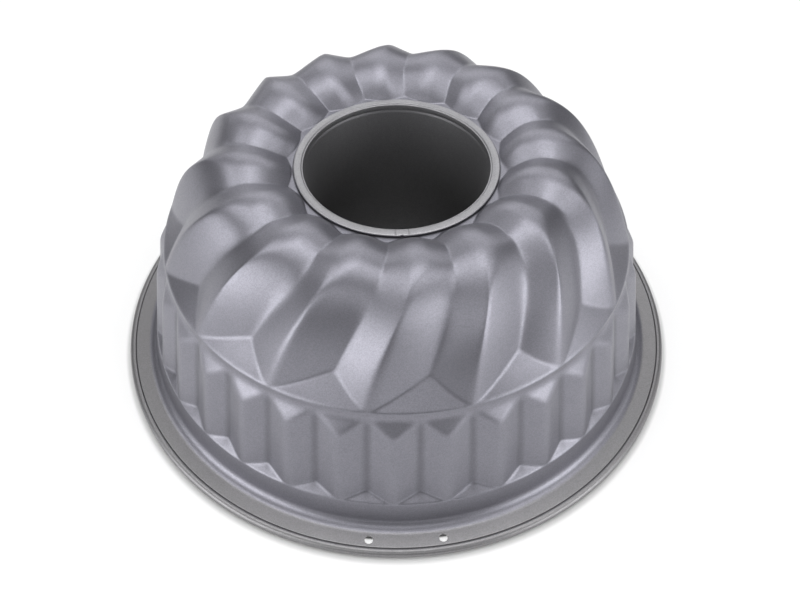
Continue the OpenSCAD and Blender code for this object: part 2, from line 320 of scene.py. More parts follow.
class ShellForm:
    """The drawn sheet as rings of points, worked out from its sizes."""

    # Columns in each quarter of a flute, and how strongly they crowd towards its ends
    PER_QUARTER = 14
    CROWDING = 0.5

    # How far the flange's face lies under the bead's top, and the ribs' feet over the plain ring
    FLANGE_DROP = 0.2 * MM
    FOOT_RISE = 0.3 * MM
    # Gap between the land's hole and the tube's neck
    NECK_GAP = 0.2 * MM
    # Where the rim's section starts, under the end of the plain ring
    RING_START = 0.6 * MM

    # Control points of the crest line, as shares of the way out and up: from the step to the
    # crown's top on the outside, and from the crown's top to the land on the inside
    CREST_OUT = ((1, 0), (0.83, 0.35), (0.597, 1), (0, 1))
    CREST_IN = ((1, 1), (0.54, 1), (0.2, 0.55), (0, 0))

    # Sweep of the flutes: share of the crown's radius at which it ends, and how it builds up
    SWEEP_END = 0.956
    SWEEP_CURVE = (0.93, 0.75, -0.68)

    # Flutes' section: its value on the crown, what the outside adds and what the shoulder
    # between the two adds, for the softness of crests and troughs and for the steepness
    CREST_SOFT = (0.2, -0.15, -0.1)
    TROUGH_SOFT = (0.03, 0.05, 0.16)
    STEEPNESS = (1.12, -0.12, -0.12)
    # Share of the outer run over which the flutes deepen
    DEEPENING = 0.87
    # Share of their depth that the flutes lose where they run down to the land
    NOSE_FADE = 0.28
    # Place on the crest line at which the facets have sunk by the flutes' whole depth
    FACET_END = 0.225

    # Softness of the ribs' crests and troughs
    RIB_SOFT = (0.15, 0.11)

    # Places on the crest line between which its rows are even, with the rows from each to the
    # next, and the same rows for the wall from under the ribs' feet to the top of the step
    CREST_MARKS = (0, 0.29, 1, 2)
    CREST_ROWS = (30, 46, 40)
    WALL_ROWS = (15, 12, 19, 8)
    # How far the wall's closer rows reach past the feet, both ways, and under the heads
    FOOT_UNDER, FOOT_OVER, HEAD_UNDER = 0.5 * MM, 0.8 * MM, 1 * MM

    # Rounds between the faces
    FACET_ROUND = 0.5 * MM
    FLUTE_FOOT_ROUND = 0.7 * MM
    LAND_ROUND = 0.5 * MM
    RIB_FOOT_ROUND = 0.6 * MM
    RIB_HEAD_ROUND = 0.9 * MM
    RIB_SLOPE_ROUND = 1.2 * MM
    RIB_END_ROUND = 0.4 * MM
    STEP_ROUND = 0.2 * MM

    # Middle line of the pressed crease in millimetres: across from the bead's middle, up from
    # the flange's middle line, and the corner's round
    CREASE = ((-1.5, 0, 0), (-1.15, 0, 0.12), (-CREASE_IN / MM, -0.42, 0.12), (-0.72, -0.3, 0))
    # Start and end of the bead's roll in degrees
    ROLL = (108, -188)

    # Rows of the flange that hold the hanging holes, their margin round the holes, also as a
    # turn, and the least gap to the flange's ends
    HOLE_ROWS = 9
    HOLE_MARGIN = 0.45 * MM
    HOLE_MARGIN_TURN = 0.004
    ROW_GAP = 0.03 * MM
    # Round of the holes' edges, and the ring of faces about it as a multiple of that round
    HOLE_ROUND = 0.16 * MM
    HOLE_APRON = 1.4

    def __init__(self, sizes, neck_outside):
        self.s = s = sizes
        self.bead_ring = s.rim_radius - s.bead_radius
        self.flange_z = 2 * s.bead_radius - self.FLANGE_DROP
        self.flange_in = self.bead_ring - s.flange_width
        self.fillet_run = s.fillet_radius * math.tan((math.pi / 2 - s.draft) / 2)
        self.wall_foot = self.flange_in - self.fillet_run
        self.rib_foot = s.ring_height + self.FOOT_RISE
        self.step_low = s.step_height - s.step_band / 2
        self.step_top = s.step_height + s.step_band / 2
        self.step_r = self.wall_r(s.step_height) - s.rib_depth
        run, rise = self.step_r - s.crown_radius, s.crown_height - self.step_top
        self.crest_out = [(s.crown_radius + x * run, self.step_top + z * rise) for x, z in self.CREST_OUT]
        self.blend_out = s.crown_radius + self.DEEPENING * run
        run, rise = s.crown_radius - s.land_radius, s.crown_height - s.land_height
        self.crest_in = [(s.land_radius + x * run, s.land_height + z * rise) for x, z in self.CREST_IN]
        self.land_hole = neck_outside + self.NECK_GAP
        self.columns = self.place_columns()

    def place_columns(self):
        """Columns in eighths of a flute, crowded beside the creases at every quarter flute."""
        even = np.arange(self.PER_QUARTER) / self.PER_QUARTER
        crowded = even - self.CROWDING * np.sin(2 * math.pi * even) / (2 * math.pi)
        quarters = np.arange(self.s.flutes * 4)
        return (quarters[:, None] + crowded[None, :]).ravel() * 2

    def wall_r(self, z):
        """Radius of the leaning wall over its ribs."""
        return self.wall_foot - math.tan(self.s.draft) * (z - self.flange_z)

    def angle(self):
        """Turn of each column about the axis."""
        return FRONT + self.s.turn + 2 * math.pi * self.columns / (self.s.flutes * 8)

    def across_flute(self):
        """0 on a flute's crest and 1 in its trough."""
        m = (self.columns % 8) / 4
        return np.where(m > 1, 2 - m, m)

    def across_rib(self):
        """0 on a rib's crest and 1 in its trough."""
        return np.abs(1 - (self.columns % 4) / 2)

    def swept(self, r):
        """Turn of the flutes at each radius, counted from the step line."""
        x = (self.step_r - r) / (self.step_r - self.SWEEP_END * self.s.crown_radius)
        first, second, third = self.SWEEP_CURVE
        return self.s.sweep * x * (first + second * x + third * x * x)

    def trough_turn(self, r):
        """Extra turn of a flute's trough against its crests, greatest half way up the outside."""
        u = np.clip((self.step_r - r) / (self.step_r - self.s.crown_radius), 0, 1)
        return self.s.trough_lead * 4 * u * (1 - u) * self.across_flute()[None, :]

    def crest(self, w):
        """Crest line's points and outward normals, at each w from 0 at the step to 2 at the land."""
        outer = (w <= 1)[:, None]
        low, high = np.minimum(w, 1), np.maximum(w - 1, 0)
        point = np.where(outer, bezier(self.crest_out, low), bezier(self.crest_in, high))
        slope = np.where(outer, bezier_slope(self.crest_out, low), bezier_slope(self.crest_in, high))
        slope /= np.linalg.norm(slope, axis=1)[:, None]
        return point, np.column_stack([slope[:, 1], -slope[:, 0]])

    def flute_depths(self, w, crest_r):
        """Depth of the flutes under the crest line, one row for each w."""
        s = self.s
        blend = ease((crest_r - s.crown_radius) / (self.blend_out - s.crown_radius))[:, None]
        shoulder = 4 * blend * (1 - blend)
        crest_soft, trough_soft, power = (
            crown + blend * outside + shoulder * between
            for crown, outside, between in (self.CREST_SOFT, self.TROUGH_SOFT, self.STEEPNESS)
        )
        shape = round_wave(self.across_flute()[None, :], crest_soft, trough_soft) ** power
        full = s.crown_depth + (s.flute_depth - s.crown_depth) * blend
        full = full * (1 - self.NOSE_FADE * ease((w - 1.5) / 0.5))[:, None]
        facet = np.where(w <= 1, s.flute_depth * w / self.FACET_END, 10 * s.flute_depth)[:, None]
        depth = soft_min(full * shape, facet, self.FACET_ROUND)
        return soft_max(depth, 0, self.FLUTE_FOOT_ROUND)

    def crown_rings(self, w, inset):
        """Rings of the fluted crown; inset is 0 on the outside and the sheet's thickness within."""
        w = np.asarray(w, float)
        point, normal = self.crest(w)
        depth = self.flute_depths(w, point[:, 0]) + inset
        r = point[:, :1] - normal[:, :1] * depth
        z = point[:, 1:] - normal[:, 1:] * depth
        floor = self.s.land_height - inset
        z = np.where(w[:, None] > 1, soft_max(z, floor, self.LAND_ROUND), z)
        a = self.angle()[None, :] + self.swept(point[:, :1]) + self.trough_turn(point[:, :1])
        return turned(r, z, a)

    def land_rings(self, inset):
        """Flat land from the foot of the crests in to the hole for the tube."""
        last = self.crown_rings([2.0], inset)[0]
        turns = self.angle() + self.swept(self.s.land_radius)
        edge = turned(self.land_hole, self.s.land_height - inset, turns)
        return np.array([last + (edge - last) * t for t in (0.25, 0.5, 0.75, 1.0)])

    def wall_rings(self, z, inset):
        """Rings of the ribbed wall and of the upright band at the step line."""
        s = self.s
        z = z[:, None]
        wave = round_wave(self.across_rib()[None, :], *self.RIB_SOFT)
        foot = z - self.rib_foot
        head = s.rib_depth * (1 - (self.step_low - z) / s.rib_head)
        depth = soft_min(s.rib_depth * wave, foot, self.RIB_FOOT_ROUND)
        depth = soft_max(depth, soft_min(head, s.rib_depth, self.RIB_HEAD_ROUND), self.RIB_SLOPE_ROUND)
        depth = soft_max(depth, 0, self.RIB_END_ROUND)
        r = soft_max(self.wall_r(z) - depth, self.step_r, self.STEP_ROUND)
        r = np.where(z > s.step_height, self.step_r, r) - inset / math.cos(s.draft)
        return turned(r, z, self.angle()[None, :])

    def rim_line(self):
        """Middle line of the plain ring, the fillet and the flange's start, from the ring down."""
        s = self.s
        half = s.sheet / 2
        mid_z = self.flange_z - half
        mid_fillet = s.fillet_radius + half
        ring_z = s.ring_height - self.RING_START
        ring_top = (self.wall_r(ring_z) - half / math.cos(s.draft), ring_z)
        fillet = arc(self.flange_in, mid_z + mid_fillet, mid_fillet, 180 + math.degrees(s.draft), 270, 18)
        ring = np.linspace(ring_top, fillet[0], 9)[:-1]
        return ring, fillet, mid_z

    def bead_line(self, mid_z):
        """Middle lines of the crease and of the rolled bead."""
        s = self.s
        ring = self.bead_ring
        corners = [(ring + x * MM, mid_z + z * MM, size * MM) for x, z, size in self.CREASE]
        roll = arc(ring, s.bead_radius, s.bead_radius - s.sheet / 2, *self.ROLL, 52)
        return round_corners(corners, 4), roll

    def flange_rows(self, start, end):
        """Radii of the flat flange's rows, closer together where the holes are."""
        reach = HOLE_RADIUS + self.HOLE_MARGIN
        low = max(start + self.ROW_GAP, HOLE_RING - reach)
        high = min(end - self.ROW_GAP, HOLE_RING + reach)
        return np.append(np.linspace(low, high, self.HOLE_ROWS), end)

    def build(self):
        """Closed mesh of the sheet: points and faces."""
        s = self.s
        ring, fillet, mid_z = self.rim_line()
        crease, roll = self.bead_line(mid_z)
        flange_r = self.flange_rows(fillet[-1, 0], crease[0, 0])
        flange = np.column_stack([flange_r, np.full(len(flange_r), mid_z)])
        line = np.vstack([ring, fillet, flange, crease[1:], roll])
        outer_line = offset_line(line, s.sheet / 2)
        inner_line = offset_line(line, -s.sheet / 2)[::-1]

        crown_w = stops(self.CREST_MARKS, self.CREST_ROWS)
        foot_start = self.rib_foot - self.FOOT_UNDER
        foot_end = self.rib_foot + s.rib_depth + self.FOOT_OVER
        head_start = self.step_low - s.rib_head - self.HEAD_UNDER
        wall_marks = (foot_start, foot_end, head_start, self.step_low, self.step_top)
        wall_z = stops(wall_marks, self.WALL_ROWS)[:-1]
        turns = self.angle()[None, :]
        outer = [
            self.land_rings(0)[::-1],
            self.crown_rings(crown_w[::-1], 0),
            self.wall_rings(wall_z[::-1], 0),
            turned(outer_line[:, :1], outer_line[:, 1:], turns),
        ]
        inner = [
            turned(inner_line[:, :1], inner_line[:, 1:], turns),
            self.wall_rings(wall_z[::2], s.sheet),
            self.crown_rings(crown_w[::2], s.sheet),
            self.land_rings(s.sheet),
        ]
        rings = np.concatenate(outer + inner)
        rows, cols = rings.shape[:2]
        before_rim = sum(len(part) for part in outer[:3])
        block = len(ring) + len(fillet) + np.arange(self.HOLE_ROWS)
        top = before_rim + block
        under = before_rim + 2 * len(line) - 1 - block
        return self.cut_holes(rings.reshape(-1, 3), wrap_quads(rows, cols), top, under, cols)

    def cut_holes(self, points, quads, top, under, cols):
        """Leaves out the faces round each hanging hole and fills in rings of faces that end at it."""
        keep = np.ones(quads.shape[:2], bool)
        points = list(points)
        extra = []
        half = (HOLE_RADIUS + self.HOLE_MARGIN) / HOLE_RING + self.HOLE_MARGIN_TURN
        for side in (-1, 1):
            centre_a = FRONT + side * HOLE_TURN
            off = (self.angle() - centre_a + math.pi) % (2 * math.pi) - math.pi
            near = np.where(np.abs(off) < half)[0]
            near = near[np.argsort(off[near])]
            centre = np.array([HOLE_RING * math.cos(centre_a), HOLE_RING * math.sin(centre_a)])
            loops = []
            for rows in (top, under):
                for c in near[:-1]:
                    keep[min(rows):max(rows), c] = False
                loops.append(self.block_loop(rows, near, cols))
            extra.extend(self.hole_faces(points, loops, centre))
        kept = quads[keep].reshape(-1, 4)
        return np.array(points), np.vstack([kept, np.array(extra, dtype=kept.dtype)])

    @staticmethod
    def block_loop(rows, near, cols):
        """Grid points round the edge of the block, in order."""
        loop = [rows[0] * cols + c for c in near]
        loop += [r * cols + near[-1] for r in rows[1:-1]]
        loop += [rows[-1] * cols + c for c in near[::-1]]
        loop += [r * cols + near[0] for r in rows[-2:0:-1]]
        return loop

    def hole_faces(self, points, loops, centre):
        """Rings of faces from the block's edge to the hole, down its wall and out again beneath."""
        edge = self.HOLE_ROUND
        bearing = [math.atan2(points[i][1] - centre[1], points[i][0] - centre[0]) for i in loops[0]]
        bearing = np.unwrap(bearing)
        turn = math.copysign(2 * math.pi, bearing[-1] - bearing[0])
        # The circles' points face the block's, moved part of the way to even places
        even = bearing[0] + turn * np.arange(len(bearing)) / len(bearing)
        bearing = 0.7 * bearing + 0.3 * even

        def circle(radius, z):
            start = len(points)
            for b in bearing:
                x, y = centre[0] + radius * math.cos(b), centre[1] + radius * math.sin(b)
                points.append(np.array([x, y, z]))
            return list(range(start, start + len(bearing)))

        def side(loop, down):
            """The apron's circle and the rounded edge, as circles from the face to the hole's wall."""
            z = points[loop[0]][2]
            circles = [(HOLE_RADIUS + self.HOLE_APRON * edge, z)]
            for a in np.radians(np.linspace(0, 90, 5)):
                out, off = edge * (1 - math.sin(a)), edge * (1 - math.cos(a))
                circles.append((HOLE_RADIUS + out, z + down * off))
            return circles

        into, out_again = side(loops[0], -1), side(loops[1], 1)[::-1]
        chain = [loops[0], *(circle(*ring) for ring in into + out_again), loops[1]]
        faces = []
        count = len(bearing)
        for a, b in zip(chain, chain[1:]):
            for i in range(count):
                j = (i + 1) % count
                faces.append((a[i], a[j], b[j], b[i]))
        if turn < 0:
            faces = [face[::-1] for face in faces]
        return faces


class MOULD_OT_fluted_shell(bpy.types.Operator):
    """Make the drawn shell with its flutes, ribs, flange, holes and rolled bead"""

    bl_idname = "mould.fluted_shell"
    bl_label = "Fluted shell"

    def execute(self, context):
        shell, tube = context.scene.mould_shell, context.scene.mould_tube
        points, quads = ShellForm(shell, tube.neck_radius + shell.sheet).build()
        piece = mesh_object("fluted_shell_skin", points, quads)
        piece.data.materials.append(coating_material("shell_coating", shell_ground))
        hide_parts("fluted_shell")
        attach(piece, "root")
        return {"FINISHED"}


class TubeForm:
    """The rolled tube, its collar, swage and lap seam."""

    COLUMNS = 720
    # Longest stretch of the section between two rows
    LONGEST = 2.4 * MM
    # Raised strip of the lap seam: its height, the softness of its sides and ends, and where it ends
    STRIP_RISE = 0.6 * MM
    STRIP_SIDE = 0.45 * MM
    STRIP_END = 0.6 * MM
    STRIP_MARGIN = 0.8 * MM
    # Grooves beside the seam on the collar
    GROOVE_DEPTH = 0.2 * MM
    GROOVE_WIDTH = 0.22 * MM
    # Nick in the collar's edge: half its width, its depth and the softness of its sides
    NICK_HALF = 0.6 * MM
    NICK_DEPTH = 0.35 * MM
    NICK_SIDE = 0.3 * MM

    def __init__(self, sizes, shell):
        self.s = sizes
        self.sheet = shell.sheet
        self.land = shell.land_height
        self.under = shell.land_height - shell.sheet
        self.lip = shell.land_height + sizes.lip_gap
        self.swage_low = self.under - sizes.swage_height

    def outline(self):
        """Section of the tube as a closed line, from the free end up the outside and down the inside."""
        s, land, under, lip, swage_low = self.s, self.land, self.under, self.lip, self.swage_low
        top = lip + self.sheet
        swage_mid = under - s.swage_height / 2
        lean = math.atan((s.neck_radius - s.free_radius) / (swage_low - s.free_height))
        across = self.sheet / math.cos(lean)
        inside, outside = s.neck_radius, s.neck_radius + self.sheet
        # Radius and height of each corner, and its round in millimetres
        corners = [
            (s.free_radius + across / 2, s.free_height, 0.0),
            (s.free_radius + across, s.free_height, 0.3),
            (outside, swage_low, 1.0),
            (outside + s.swage, swage_mid, 0.5),
            (outside + s.swage, under - 0.05 * MM, 0.15),
            (outside, under - 0.05 * MM, 0.15),
            (outside, land, 0.1),
            (outside + 0.9 * MM, land + 0.02 * MM, 0.3),
            (outside + 1.5 * MM, lip, 0.3),
            (s.collar_radius, lip, 0.28),
            (s.collar_radius, top - 0.15 * MM, 0.42),
            (s.collar_radius - 1.1 * MM, top, 0.9),
            (inside + 1.0 * MM, top - 0.05 * MM, 0.3),
            (inside + 0.62 * MM, top - 0.5 * MM, 0.2),
            (inside + 0.2 * MM, top - 0.42 * MM, 0.3),
            (inside, under, 0.3),
            (inside + 0.3 * MM, under - 0.3 * MM, 0.3),
            (inside + 0.3 * MM, swage_mid, 0.5),
            (inside, swage_low, 1.0),
            (s.free_radius, s.free_height, 0.3),
            (s.free_radius + across / 2, s.free_height, 0.0),
        ]
        line = round_corners([(r, z, size * MM) for r, z, size in corners])
        return fill_long(line, self.LONGEST)

    def build(self):
        """Closed mesh of the tube: points and faces."""
        s = self.s
        line = self.outline()
        rows = len(line)
        off = 2 * math.pi * np.arange(self.COLUMNS) / self.COLUMNS
        a = FRONT + s.seam_turn + off
        off = (off + math.pi) % (2 * math.pi) - math.pi
        r = np.repeat(line[:, :1], self.COLUMNS, axis=1)
        z = np.repeat(line[:, 1:], self.COLUMNS, axis=1)
        along = off[None, :] * r
        above = z > self.land + s.lip_gap / 2
        r = r - self.lap_strip(line, along, z)
        edges = (along - s.seam_width / 2, along + s.seam_width / 2)
        groove = sum(np.exp(-((edge / self.GROOVE_WIDTH) ** 2)) for edge in edges)
        z = z - self.GROOVE_DEPTH * groove * (z > self.lip + self.sheet / 2)
        nick = ease((self.NICK_HALF - np.abs(along)) / self.NICK_SIDE + 0.5)
        at_lip = ease((r - (s.collar_radius - 0.5 * MM)) / self.NICK_SIDE)
        r = r - self.NICK_DEPTH * nick * at_lip * above
        quads = wrap_quads(rows, self.COLUMNS).reshape(-1, 4)
        return turned(r, z, a).reshape(-1, 3), quads[:, ::-1]

    def lap_strip(self, line, along, z):
        """How far the lap seam stands in from the tube's inside at each point."""
        s = self.s
        low, high = s.free_height + self.STRIP_MARGIN, self.swage_low - self.STRIP_MARGIN
        on_inside = np.arange(len(line))[:, None] > self.inside_start(line)
        body = ease((z - low) / self.STRIP_END) * ease((high - z) / self.STRIP_END)
        strip = ease((s.seam_width / 2 - np.abs(along)) / self.STRIP_SIDE + 0.5)
        return self.STRIP_RISE * strip * body * on_inside

    def inside_start(self, line):
        """Index of the first point past the collar's top, on the inner side."""
        top = int(np.argmax(line[:, 1]))
        return top + int(np.argmax(line[top:, 1] < self.under))


class MOULD_OT_centre_tube(bpy.types.Operator):
    """Make the rolled centre tube with its collar, swage and lap seam"""

    bl_idname = "mould.centre_tube"
    bl_label = "Centre tube"

    def execute(self, context):
        points, quads = TubeForm(context.scene.mould_tube, context.scene.mould_shell).build()
        piece = mesh_object("centre_tube_skin", points, quads)
        piece.data.materials.append(coating_material("tube_coating", tube_ground))
        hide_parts("centre_tube")
        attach(piece, "root")
        return {"FINISHED"}


# Nodes


def put(tree, value, socket):
    """Links a socket to an input, or sets the input to a number or a colour."""
    if isinstance(value, bpy.types.NodeSocket):
        tree.links.new(value, socket)
    elif isinstance(value, (int, float)):
        socket.default_value = value
    else:
        socket.default_value = (*value, 1.0)


def add_math(tree, operation, a, b=None):
    """Result of a calculation with one or two values."""
    node = tree.nodes.new("ShaderNodeMath")
    node.operation = operation
    put(tree, a, node.inputs[0])
    if b is not None:
        put(tree, b, node.inputs[1])
    return node.outputs[0]


def add_mapped(tree, value, start, end, low=0.0, high=1.0):
    """Soft change from low to high while the value runs from start to end."""
    node = tree.nodes.new("ShaderNodeMapRange")
    node.interpolation_type = "SMOOTHSTEP"
    put(tree, value, node.inputs["Value"])
    for label, setting in (("From Min", start), ("From Max", end), ("To Min", low), ("To Max", high)):
        put(tree, setting, node.inputs[label])
    return node.outputs["Result"]


def add_blend(tree, kind, factor, a, b):
    """Mix of two colours, each given as a colour or as a socket."""
    mix = tree.nodes.new("ShaderNodeMix")
    mix.data_type = "RGBA"
    mix.blend_type = kind
    for label, value in (("Factor", factor), ("A", a), ("B", b)):
        put(tree, value, mix.inputs[label])
    return mix.outputs["Result"]


def add_parts(tree, vector):
    """The X, Y and Z of each point."""
    parts = tree.nodes.new("ShaderNodeSeparateXYZ")
    tree.links.new(vector, parts.inputs[0])
    return parts.outputs


def add_radius(tree, vector):
    """Distance of each point from the mould's axis, and its height."""
    x, y, z = add_parts(tree, vector)
    squares = [add_math(tree, "MULTIPLY", side, side) for side in (x, y)]
    return add_math(tree, "SQRT", add_math(tree, "ADD", *squares)), z


def add_off(tree, value, middle):
    """Distance of a value from a middle."""
    return add_math(tree, "ABSOLUTE", add_math(tree, "SUBTRACT", value, middle))


def coating_grain():
    """Node group: metal flakes and faint mottling of a baked coating, as a tone near 1 and a height."""
    name = "Coating grain"
    if name in bpy.data.node_groups:
        return bpy.data.node_groups[name]
    group = bpy.data.node_groups.new(name, "ShaderNodeTree")
    group.interface.new_socket(name="Vector", in_out="INPUT", socket_type="NodeSocketVector")
    for label in ("Flake size", "Flake contrast", "Mottle size", "Mottle contrast"):
        group.interface.new_socket(name=label, in_out="INPUT", socket_type="NodeSocketFloat")
    for label in ("Tone", "Height"):
        group.interface.new_socket(name=label, in_out="OUTPUT", socket_type="NodeSocketFloat")
    given = group.nodes.new("NodeGroupInput").outputs
    result = group.nodes.new("NodeGroupOutput").inputs
    flakes = group.nodes.new("ShaderNodeTexVoronoi")
    flake_tone = group.nodes.new("ShaderNodeSeparateColor")
    mottle = group.nodes.new("ShaderNodeTexNoise")
    mottle.inputs["Detail"].default_value = 4.0
    fine = group.nodes.new("ShaderNodeTexNoise")
    fine.inputs["Detail"].default_value = 2.0
    for texture, size in ((flakes, "Flake size"), (fine, "Flake size"), (mottle, "Mottle size")):
        group.links.new(given["Vector"], texture.inputs["Vector"])
        group.links.new(add_math(group, "DIVIDE", 1.0, given[size]), texture.inputs["Scale"])
    group.links.new(flakes.outputs["Color"], flake_tone.inputs[0])
    tones = {"Flake contrast": flake_tone.outputs[0], "Mottle contrast": mottle.outputs["Fac"]}
    changes = [
        add_math(group, "MULTIPLY", add_math(group, "SUBTRACT", tone, 0.5), given[contrast])
        for contrast, tone in tones.items()
    ]
    tone = add_math(group, "ADD", add_math(group, "ADD", *changes), 1.0)
    group.links.new(tone, result["Tone"])
    group.links.new(fine.outputs["Fac"], result["Height"])
    return group


# Coating

# Metal flakes and mottling, and how much they change the gloss and the surface
FLAKE_SIZE = 0.3 * MM
MOTTLE_SIZE = 6 * MM
MOTTLE_CONTRAST = 0.08
GLOSS_CHANGE = 0.3
BUMP_STRENGTH = 0.08
BUMP_DEPTH = 0.05 * MM

# Tones of the painted shade in the rib troughs, in the crease and in the lip's gap, and of the seam's
# marks, each with the share at which it shows
TROUGH_SHADE_TONE, TROUGH_SHADE_SHARE = (0.05, 0.05, 0.058), 0.36
LINE_SHADE_TONE, LINE_SHADE_SHARE = (0.02, 0.02, 0.022), 0.75
MARK_TONE, MARK_SHARE = (0.06, 0.06, 0.063), 0.4

# Width over which the flange's colour sets in
FLANGE_BLEND = 1.5 * MM
# Half the width of the painted shade in a rib trough, in ribs, and the height over which its ends fade
TROUGH_HALF = 0.13
TROUGH_FADE = 4 * MM
# Half the width and the lowest height of the painted shade line in the crease and of the one in
# the gap under the collar's lip, and how far that one lies outside the lip
CREASE_SHADE_LINE = (0.34 * MM, 2.6 * MM)
LIP_SHADE_LINE = (0.55 * MM, 90 * MM)
LIP_SHADE_LINE_OUT = 0.2 * MM
# Heights between which the painted shade deep in the tube gives way to the collar's colour
DEEP_SHADE_HEIGHTS = (50 * MM, 93 * MM)
# Band of painted highlight along the collar's lip, counted in from the lip, and its brightness
LIP_HIGHLIGHT_BAND = (2.2 * MM, 0.3 * MM)
LIP_HIGHLIGHT_TONE = 1.22
# Half the width of the marks where the lap seam's edges cross the collar
MARK_HALF = 0.4 * MM


def add_ring_shade(tree, radius, height, middle, half, lowest):
    """Mask of a narrow line of painted shade round the axis, in a crease or in the gap under a lip."""
    line = add_mapped(tree, add_off(tree, radius, middle), 0.0, half, 1.0, 0.0)
    return add_math(tree, "MULTIPLY", line, add_math(tree, "GREATER_THAN", height, lowest))


def add_rib_trough_shade(tree, place, shell):
    """Mask of the painted shade in the troughs between the ribs."""
    x, y, z = add_parts(tree, place)
    bearing = add_math(tree, "SUBTRACT", add_math(tree, "ARCTAN2", y, x), FRONT + shell.turn)
    ribs = add_math(tree, "MULTIPLY", bearing, 2 * shell.flutes / (2 * math.pi))
    off_middle = add_off(tree, add_math(tree, "FRACT", ribs), 0.5)
    off_trough = add_math(tree, "SUBTRACT", 0.5, off_middle)
    trough = add_mapped(tree, off_trough, 0.0, TROUGH_HALF, 1.0, 0.0)
    low, high = shell.ring_height, shell.step_height - shell.step_band / 2
    over = add_mapped(tree, z, low, low + TROUGH_FADE)
    under = add_mapped(tree, z, high - TROUGH_FADE, high, 1.0, 0.0)
    return add_math(tree, "MULTIPLY", trough, add_math(tree, "MULTIPLY", over, under))


def shell_ground(tree, place):
    """Colour of the shell under the grain: its flange, painted shade in the rib troughs, and painted
    shade lines in the crease and in the lip's gap.
    """
    scene = bpy.context.scene
    shell, coating = scene.mould_shell, scene.mould_coating
    bead = shell.rim_radius - shell.bead_radius
    flange = bead - shell.flange_width
    radius, height = add_radius(tree, place)
    on_flange = add_mapped(tree, radius, flange - FLANGE_BLEND, flange)
    ground = add_blend(tree, "MIX", on_flange, coating.shell_colour, coating.flange_colour)
    # Painted shade darkens the troughs between the ribs
    shade = add_math(tree, "MULTIPLY", add_rib_trough_shade(tree, place, shell), TROUGH_SHADE_SHARE)
    ground = add_blend(tree, "MIX", shade, ground, TROUGH_SHADE_TONE)
    lip_gap = scene.mould_tube.collar_radius + LIP_SHADE_LINE_OUT
    # Painted shade lines in the bead's crease and in the gap under the collar's lip
    for middle, size in ((bead - CREASE_IN, CREASE_SHADE_LINE), (lip_gap, LIP_SHADE_LINE)):
        line = add_ring_shade(tree, radius, height, middle, *size)
        shade = add_math(tree, "MULTIPLY", line, LINE_SHADE_SHARE)
        ground = add_blend(tree, "MIX", shade, ground, LINE_SHADE_TONE)
    return ground


def tube_ground(tree, place):
    """Colour of the tube under the grain: painted shade deep inside, a painted highlight along the lip,
    and the seam's marks.
    """
    scene = bpy.context.scene
    tube, coating = scene.mould_tube, scene.mould_coating
    radius, height = add_radius(tree, place)
    # Painted shade: the tube's inside darkens downwards
    out_of_shade = add_mapped(tree, height, *DEEP_SHADE_HEIGHTS)
    ground = add_blend(tree, "MIX", out_of_shade, coating.deep_shade_colour, coating.tube_colour)
    # Painted highlight: the collar lightens towards its rounded lip
    start, end = (tube.collar_radius - inward for inward in LIP_HIGHLIGHT_BAND)
    lip_highlight = [min(1.0, LIP_HIGHLIGHT_TONE * value) for value in coating.tube_colour]
    ground = add_blend(tree, "MIX", add_mapped(tree, radius, start, end), ground, lip_highlight)
    marks = add_math(tree, "MULTIPLY", add_seam_marks(tree, place, tube), MARK_SHARE)
    return add_blend(tree, "MIX", marks, ground, MARK_TONE)


def add_seam_marks(tree, place, tube):
    """Mask of the two fine lines where the lap seam's edges cross the front of the collar."""
    x, y, z = add_parts(tree, place)
    off_middle = add_off(tree, x, tube.collar_radius * math.sin(tube.seam_turn))
    line = add_mapped(tree, add_off(tree, off_middle, tube.seam_width / 2), 0.0, MARK_HALF, 1.0, 0.0)
    front = add_math(tree, "LESS_THAN", y, 0.0)
    collar = add_math(tree, "GREATER_THAN", z, bpy.context.scene.mould_shell.land_height)
    return add_math(tree, "MULTIPLY", line, add_math(tree, "MULTIPLY", front, collar))


def coating_material(name, paint_ground):
    """Satin non-stick coating over steel; paint_ground adds the nodes of the colour under its grain."""
    coating = bpy.context.scene.mould_coating
    material = bpy.data.materials.new(name)
    material.use_nodes = True
    tree = material.node_tree
    shader = tree.nodes["Principled BSDF"]
    shader.inputs["Metallic"].default_value = coating.metal_share
    place = tree.nodes.new("ShaderNodeTexCoord").outputs["Object"]
    group = tree.nodes.new("ShaderNodeGroup")
    group.node_tree = coating_grain()
    values = (place, FLAKE_SIZE, coating.grain, MOTTLE_SIZE, MOTTLE_CONTRAST)
    for value, socket in zip(values, group.inputs):
        put(tree, value, socket)
    grain = group.outputs
    tinted = add_blend(tree, "MULTIPLY", 1.0, paint_ground(tree, place), grain["Tone"])
    tree.links.new(tinted, shader.inputs["Base Color"])
    gloss = add_math(tree, "MULTIPLY", add_math(tree, "SUBTRACT", 1.0, grain["Tone"]), GLOSS_CHANGE)
    tree.links.new(add_math(tree, "ADD", gloss, coating.roughness), shader.inputs["Roughness"])
    bump = tree.nodes.new("ShaderNodeBump")
    bump.inputs["Strength"].default_value = BUMP_STRENGTH
    bump.inputs["Distance"].default_value = BUMP_DEPTH
    tree.links.new(grain["Height"], bump.inputs["Height"])
    tree.links.new(bump.outputs["Normal"], shader.inputs["Normal"])
    return material


# Stage

FLOOR_RADIUS = 3.0
FLOOR_SIDES = 96
FLOOR_ROUGHNESS = 0.9
WORLD_STRENGTH = 0.06
# Floor's own glow, and the band outside the rim over which it sets in as a painted contact shadow
FLOOR_GLOW = 0.3
GLOW_BAND = (1 * MM, 3 * MM)
# Painted light: glow of the floor's ring under the hanging holes, and the band off it over which it ends
HOLE_PAINTED_LIGHT = 0.75
HOLE_PAINTED_LIGHT_BAND = (1.5 * MM, 2.6 * MM)

